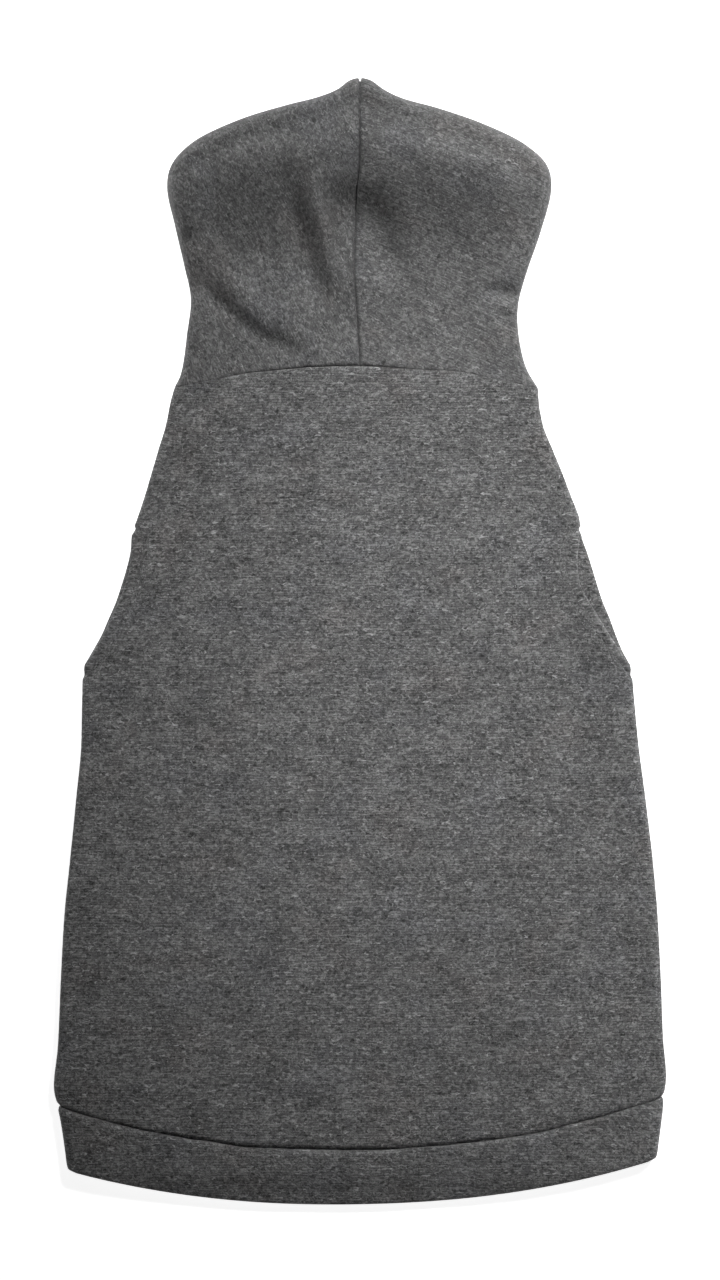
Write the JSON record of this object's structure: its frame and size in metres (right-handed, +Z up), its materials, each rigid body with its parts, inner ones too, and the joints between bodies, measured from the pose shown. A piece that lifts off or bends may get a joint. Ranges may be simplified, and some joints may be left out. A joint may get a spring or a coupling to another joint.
{
  "type": "sleeveless hoodie for a cat, laid flat",
  "caption": "Sleeveless pull-on fleece hoodie for a cat, laid flat on its belly side, with a two-part hood, open armholes and a doubled hem band.",
  "frame": {"origin": "middle of the underside of the garment as it lies flat, on the surface it rests on", "axes": "+Z up from the surface, +Y from the hem towards the hood, +X to the right seen from above with the hood away"},
  "size_m": [0.2204, 0.4048, 0.0209],
  "materials": {
    "fleece": "charcoal melange brushed sweatshirt fleece, matt with a fine nap"
  },
  "bodies": {
    "root": {"front_panel": "fleece", "back_panel": "fleece", "hem_band": "fleece", "hood_left": "fleece", "hood_right": "fleece"}
  },
  "joints": []
}
